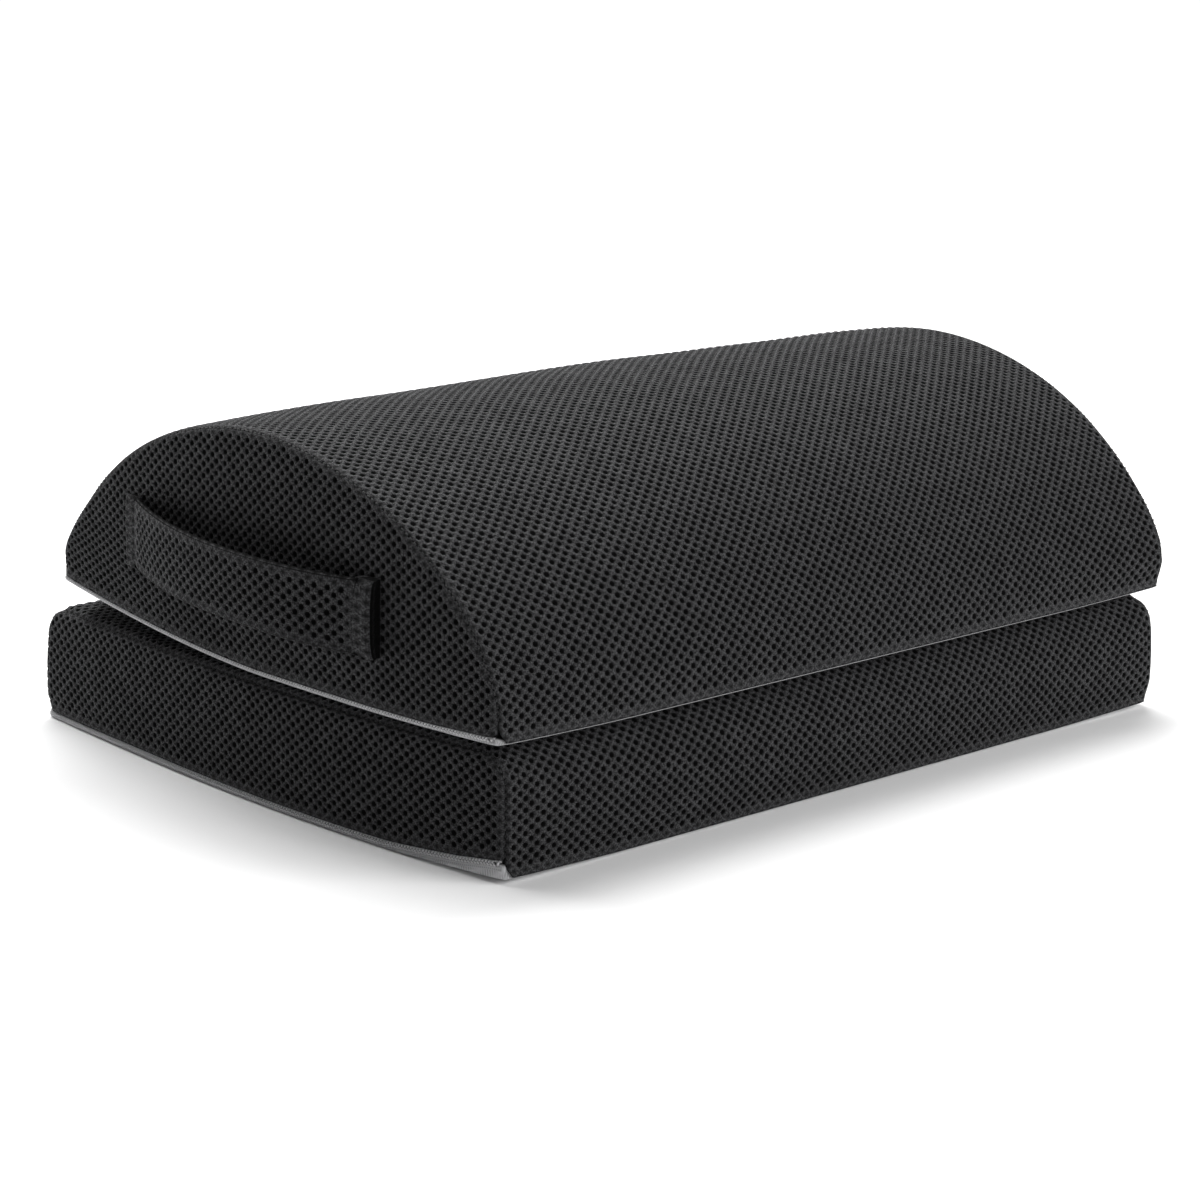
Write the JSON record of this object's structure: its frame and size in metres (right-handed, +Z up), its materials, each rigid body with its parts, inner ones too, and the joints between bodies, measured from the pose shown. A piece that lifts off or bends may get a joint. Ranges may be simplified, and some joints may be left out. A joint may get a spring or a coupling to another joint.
{
  "type": "foot rest cushion",
  "caption": "Half-round foam cushion that rests on a rectangular foam pad, both in zipped black mesh covers, with a carrying strap on one end.",
  "frame": {"origin": "centre of the lower pad's underside", "axes": "+X along the length, away from the end with the strap; -Y is the front, where both cushions line up; +Z up"},
  "size_m": [0.4581, 0.3227, 0.1639],
  "materials": {
    "cover_mesh": "black three-layer air mesh with round holes",
    "strap_mesh": "the same black air mesh, folded to a strap",
    "underside_fabric": "light grey woven non-slip fabric",
    "foam": "off-white polyurethane foam",
    "zip_tape": "grey woven zip tape",
    "zip_coil": "grey nylon coil",
    "zip_metal": "grey plated metal",
    "sewing_thread": "black polyester thread",
    "hook_and_loop": "black hook-and-loop tape"
  },
  "bodies": {
    "lower_pad": {"lower_bottom_panel": "underside_fabric", "lower_foam_core": "foam", "lower_left_end_panel": "cover_mesh", "lower_left_seam_thread": "sewing_thread", "lower_loop_strips": "hook_and_loop", "lower_right_end_panel": "cover_mesh", "lower_right_seam_thread": "sewing_thread", "lower_wrap_panel": "cover_mesh", "lower_zip_bottom_coil": "zip_coil", "lower_zip_bottom_tape": "zip_tape", "lower_zip_cover_coil": "zip_coil", "lower_zip_cover_tape": "zip_tape", "lower_zip_end_stop": "zip_metal", "lower_zip_start_stop": "zip_metal"},
    "upper_cushion": {"handle_front_fold": "strap_mesh", "handle_front_stitching": "sewing_thread", "handle_rear_fold": "strap_mesh", "handle_rear_stitching": "sewing_thread", "handle_strap": "strap_mesh", "upper_bottom_panel": "underside_fabric", "upper_foam_core": "foam", "upper_hook_strips": "hook_and_loop", "upper_left_end_panel": "cover_mesh", "upper_left_seam_thread": "sewing_thread", "upper_right_end_panel": "cover_mesh", "upper_right_seam_thread": "sewing_thread", "upper_wrap_panel": "cover_mesh", "upper_zip_bottom_coil": "zip_coil", "upper_zip_bottom_tape": "zip_tape", "upper_zip_cover_coil": "zip_coil", "upper_zip_cover_tape": "zip_tape", "upper_zip_end_stop": "zip_metal", "upper_zip_start_stop": "zip_metal"},
    "lower_zip_slider": {"lower_zip_slider": "zip_metal", "lower_zip_slider_back": "zip_metal"},
    "lower_zip_pull": {"lower_zip_pull": "zip_metal"},
    "upper_zip_slider": {"upper_zip_slider": "zip_metal", "upper_zip_slider_back": "zip_metal"},
    "upper_zip_pull": {"upper_zip_pull": "zip_metal"}
  },
  "joints": [
    {"name": "upper_lift", "type": "slide", "parent": "lower_pad", "child": "upper_cushion", "axis": [0, 0, 1], "range_m": [0, 0.15]},
    {"name": "lower_zip_slide", "type": "slide", "parent": "lower_pad", "child": "lower_zip_slider", "axis": [-1, 0, 0], "range_m": [0, 0.284]},
    {"name": "lower_pull_swing", "type": "hinge", "parent": "lower_zip_slider", "child": "lower_zip_pull", "pos_m": [0.139, 0.1612, 0.0062], "axis": [0, 0, 1], "range_deg": [0, 180]},
    {"name": "upper_zip_slide", "type": "slide", "parent": "upper_cushion", "child": "upper_zip_slider", "axis": [-1, 0, 0], "range_m": [0, 0.293]},
    {"name": "upper_pull_swing", "type": "hinge", "parent": "upper_zip_slider", "child": "upper_zip_pull", "pos_m": [0.1435, 0.1432, 0.0636], "axis": [0, 0, 1], "range_deg": [0, 180]}
  ]
}
